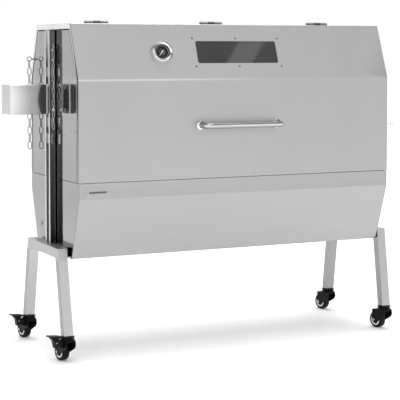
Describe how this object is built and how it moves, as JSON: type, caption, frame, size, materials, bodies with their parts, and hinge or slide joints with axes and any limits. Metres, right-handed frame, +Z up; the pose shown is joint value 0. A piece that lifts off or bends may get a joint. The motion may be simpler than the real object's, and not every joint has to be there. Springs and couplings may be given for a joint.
{
  "type": "hooded spit roaster",
  "caption": "Wheeled stainless steel charcoal spit roaster: an eight-sided hood with a hinged front lid, a motor-driven spit in slotted end rails, a window and a thermometer.",
  "frame": {"origin": "centre of the object's box in plan, on the floor under the wheels", "axes": "+X along the hood towards the bearing end, -Y at the front with the lid's handle, +Z up"},
  "size_m": [1.285, 0.5108, 1.0325],
  "materials": {
    "hood_steel": "satin brushed stainless sheet",
    "end_steel": "bright polished stainless sheet",
    "stand_steel": "satin stainless tube",
    "chrome": "polished",
    "zinc": "bright zinc plated",
    "dark_steel": "dark heat-proof coat",
    "caster_black": "gloss black",
    "tyre": "smooth black tread with a grey hub ring",
    "black_plastic": "moulded",
    "dial": "black dial with white ticks",
    "needle": "white enamel",
    "window_glass": "dark tinted heat-proof glass"
  },
  "bodies": {
    "body": {"firebox_trough": "hood_steel", "lower_end_panel_left": "end_steel", "lower_end_panel_right": "end_steel", "upper_end_panel_left": "end_steel", "upper_end_panel_right": "end_steel", "rear_hood": "hood_steel", "charcoal_grate": "dark_steel", "ash_pan": "dark_steel", "rail_left": "zinc", "rail_right": "zinc", "crossbar_left": "stand_steel", "crossbar_right": "stand_steel", "leg_front_left": "stand_steel", "leg_front_right": "stand_steel", "leg_rear_left": "stand_steel", "leg_rear_right": "stand_steel", "hinge_fixed_leaf_1": "zinc", "hinge_fixed_leaf_2": "zinc", "hinge_fixed_leaf_3": "zinc", "eye_bolt_left": "zinc", "eye_bolt_right": "zinc"},
    "lid": {"front_lid": "hood_steel", "window_glass": "window_glass", "window_retainer": "end_steel", "lid_handle": "chrome", "side_knob_left": "chrome", "side_pin_right": "chrome", "hinge_lid_leaf_1": "zinc", "hinge_lid_leaf_2": "zinc", "hinge_lid_leaf_3": "zinc", "thermometer_case": "chrome", "thermometer_dial": "dial"},
    "needle": {"thermometer_needle": "needle"},
    "drive": {"carriage_left": "dark_steel", "motor_housing": "end_steel", "gear_motor": "dark_steel", "cord_gland": "black_plastic"},
    "rocker": {"rocker_switch": "black_plastic"},
    "bearing": {"carriage_right": "dark_steel", "spit_bush": "zinc"},
    "spit": {"spit_shaft": "chrome", "drive_socket": "zinc"},
    "fork_left": {"meat_fork_left": "chrome"},
    "screw_left": {"fork_screw_left": "zinc"},
    "pin_left": {"lock_pin_left": "chrome"},
    "chain_left": {"chain_left": "zinc"},
    "fork_right": {"meat_fork_right": "chrome"},
    "screw_right": {"fork_screw_right": "zinc"},
    "pin_right": {"lock_pin_right": "chrome"},
    "chain_right": {"chain_right": "zinc"},
    "caster_front_left": {"caster_fork_front_left": "caster_black"},
    "wheel_front_left_spin": {"wheel_front_left": "tyre"},
    "pedal_front": {"brake_pedal_front_left": "caster_black"},
    "caster_front_right": {"caster_fork_front_right": "caster_black"},
    "wheel_front_right_spin": {"wheel_front_right": "tyre"},
    "caster_rear_left": {"caster_fork_rear_left": "caster_black"},
    "wheel_rear_left_spin": {"wheel_rear_left": "tyre"},
    "pedal_rear": {"brake_pedal_rear_left": "caster_black"},
    "caster_rear_right": {"caster_fork_rear_right": "caster_black"},
    "wheel_rear_right_spin": {"wheel_rear_right": "tyre"}
  },
  "joints": [
    {"name": "lid_hinge", "type": "hinge", "parent": "body", "child": "lid", "pos_m": [0.0565, 0.0147, 1.0265], "axis": [-1, 0, 0], "range_deg": [0, 100]},
    {"name": "needle_turn", "type": "hinge", "parent": "lid", "child": "needle", "pos_m": [-0.2033, -0.17455, 0.93151], "axis": [0, 0.9372, -0.3487], "range_deg": [0, 250]},
    {"name": "drive_lift", "type": "slide", "parent": "body", "child": "drive", "axis": [0, 0, 1], "range_m": [0, 0.104]},
    {"name": "bearing_lift", "type": "slide", "parent": "body", "child": "bearing", "axis": [0, 0, 1], "range_m": [0, 0.104]},
    {"name": "spit_turn", "type": "hinge", "parent": "drive", "child": "spit", "pos_m": [0.0565, 0.0147, 0.787], "axis": [1, 0, 0], "continuous": true},
    {"name": "rocker_tilt", "type": "hinge", "parent": "drive", "child": "rocker", "pos_m": [-0.6135, 0.0577, 0.807], "axis": [1, 0, 0], "range_deg": [0, 12]},
    {"name": "fork_slide_left", "type": "slide", "parent": "spit", "child": "fork_left", "axis": [1, 0, 0], "range_m": [-0.2, 0.13]},
    {"name": "screw_turn_left", "type": "hinge", "parent": "fork_left", "child": "screw_left", "pos_m": [-0.1935, 0.0147, 0.787], "axis": [0, 0, 1], "continuous": true},
    {"name": "pin_pull_left", "type": "slide", "parent": "body", "child": "pin_left", "axis": [0, -1, 0], "range_m": [0, 0.06]},
    {"name": "chain_swing_left", "type": "hinge", "parent": "body", "child": "chain_left", "pos_m": [-0.5075, 0.1947, 0.91], "axis": [1, 0, 0], "range_deg": [-20, 60]},
    {"name": "fork_slide_right", "type": "slide", "parent": "spit", "child": "fork_right", "axis": [1, 0, 0], "range_m": [-0.13, 0.2]},
    {"name": "screw_turn_right", "type": "hinge", "parent": "fork_right", "child": "screw_right", "pos_m": [0.3065, 0.0147, 0.787], "axis": [0, 0, 1], "continuous": true},
    {"name": "pin_pull_right", "type": "slide", "parent": "body", "child": "pin_right", "axis": [0, -1, 0], "range_m": [0, 0.06]},
    {"name": "chain_swing_right", "type": "hinge", "parent": "body", "child": "chain_right", "pos_m": [0.6205, 0.1947, 0.91], "axis": [1, 0, 0], "range_deg": [-20, 60]},
    {"name": "swivel_front_left", "type": "hinge", "parent": "body", "child": "caster_front_left", "pos_m": [-0.5125, -0.1683, 0.07], "axis": [0, 0, 1], "continuous": true},
    {"name": "roll_front_left", "type": "hinge", "parent": "caster_front_left", "child": "wheel_front_left_spin", "pos_m": [-0.51874, -0.13896, 0.0275], "axis": [0.9781, 0.2079, 0], "continuous": true},
    {"name": "brake_front", "type": "hinge", "parent": "caster_front_left", "child": "pedal_front", "pos_m": [-0.55456, -0.17724, 0.0635], "axis": [-0.2079, 0.9781, 0], "range_deg": [-16, 0]},
    {"name": "swivel_front_right", "type": "hinge", "parent": "body", "child": "caster_front_right", "pos_m": [0.6185, -0.1683, 0.07], "axis": [0, 0, 1], "continuous": true},
    {"name": "roll_front_right", "type": "hinge", "parent": "caster_front_right", "child": "wheel_front_right_spin", "pos_m": [0.61226, -0.13896, 0.0275], "axis": [0.9781, 0.2079, 0], "continuous": true},
    {"name": "swivel_rear_left", "type": "hinge", "parent": "body", "child": "caster_rear_left", "pos_m": [-0.5125, 0.1977, 0.07], "axis": [0, 0, 1], "continuous": true},
    {"name": "roll_rear_left", "type": "hinge", "parent": "caster_rear_left", "child": "wheel_rear_left_spin", "pos_m": [-0.51874, 0.22704, 0.0275], "axis": [0.9781, 0.2079, 0], "continuous": true},
    {"name": "brake_rear", "type": "hinge", "parent": "caster_rear_left", "child": "pedal_rear", "pos_m": [-0.55456, 0.18876, 0.0635], "axis": [-0.2079, 0.9781, 0], "range_deg": [-16, 0]},
    {"name": "swivel_rear_right", "type": "hinge", "parent": "body", "child": "caster_rear_right", "pos_m": [0.6185, 0.1977, 0.07], "axis": [0, 0, 1], "continuous": true},
    {"name": "roll_rear_right", "type": "hinge", "parent": "caster_rear_right", "child": "wheel_rear_right_spin", "pos_m": [0.61226, 0.22704, 0.0275], "axis": [0.9781, 0.2079, 0], "continuous": true}
  ],
  "couplings": [
    {"joint": "bearing_lift", "follows": "drive_lift", "ratio": 1}
  ]
}
